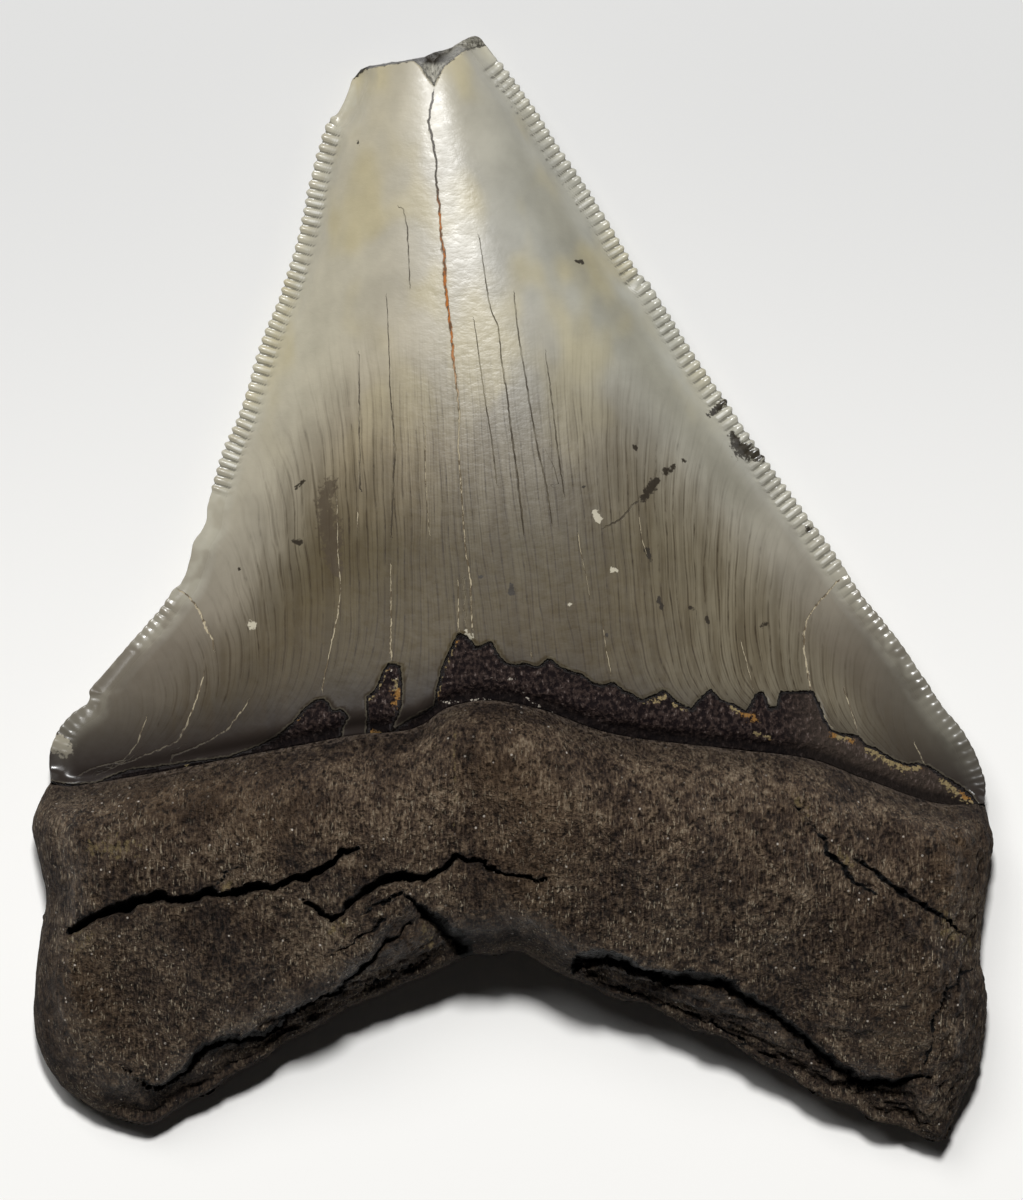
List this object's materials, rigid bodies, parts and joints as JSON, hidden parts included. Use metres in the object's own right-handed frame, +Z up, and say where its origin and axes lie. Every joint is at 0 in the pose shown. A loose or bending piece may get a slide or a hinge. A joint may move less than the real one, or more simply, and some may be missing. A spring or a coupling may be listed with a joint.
{
  "type": "megalodon tooth",
  "caption": "Fossil shark tooth lying flat: triangular serrated grey blade with a broken tip, dark neck band and cracked brown root with an arched base.",
  "frame": {"origin": "middle of the tooth's footprint box, on the surface that it rests on", "axes": "+X across the tooth to the right as seen from above, +Y from the root lobes to the broken tip, +Z up out of the lingual face"},
  "size_m": [0.0962, 0.1106, 0.02],
  "materials": {
    "enamel": "polished grey-beige fossil enamel",
    "root": "matt dark brown fossil bone, with a near-black band at the neck"
  },
  "bodies": {
    "root": {"tooth": "enamel"}
  },
  "joints": []
}
